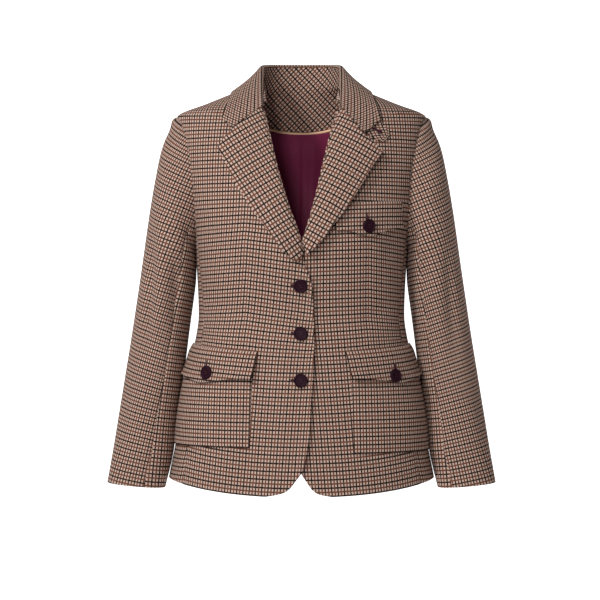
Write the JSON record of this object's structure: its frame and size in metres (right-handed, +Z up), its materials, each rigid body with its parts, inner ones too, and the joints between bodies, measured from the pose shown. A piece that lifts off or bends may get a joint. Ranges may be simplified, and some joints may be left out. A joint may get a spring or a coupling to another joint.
{
  "type": "safari jacket",
  "caption": "Checked tweed safari jacket with notch lapels, throat tab, patch pockets with pointed button flaps and plain sleeves, filled out as worn.",
  "frame": {"origin": "middle of the neck, level with the place where the collar lands on the shoulders", "axes": "+Z up the wearer, -Y the way the wearer faces, +X to the wearer's left"},
  "size_m": [0.6157, 0.2831, 0.6888],
  "materials": {
    "tweed": "wool tweed in a small two-colour check",
    "lining": "smooth satin lining",
    "piping": "satin piping",
    "button": "polished dark horn-like plastic"
  },
  "bodies": {
    "root": {"front_right": "tweed", "front_left": "tweed", "side_right": "tweed", "side_left": "tweed", "back_right": "tweed", "back_left": "tweed", "sleeve_top_right": "tweed", "sleeve_top_left": "tweed", "sleeve_under_right": "tweed", "sleeve_under_left": "tweed", "lapel_right": "tweed", "lapel_left": "tweed", "pocket_right": "tweed", "pocket_left": "tweed", "flap_right": "tweed", "flap_left": "tweed", "collar": "tweed", "neck_facing": "tweed", "chest_flap": "tweed", "throat_tab": "tweed", "back_lining": "lining", "neck_piping": "piping", "button_front_1": "button", "button_front_2": "button", "button_front_3": "button", "button_pocket_right": "button", "button_pocket_left": "button", "button_chest": "button"}
  },
  "joints": []
}
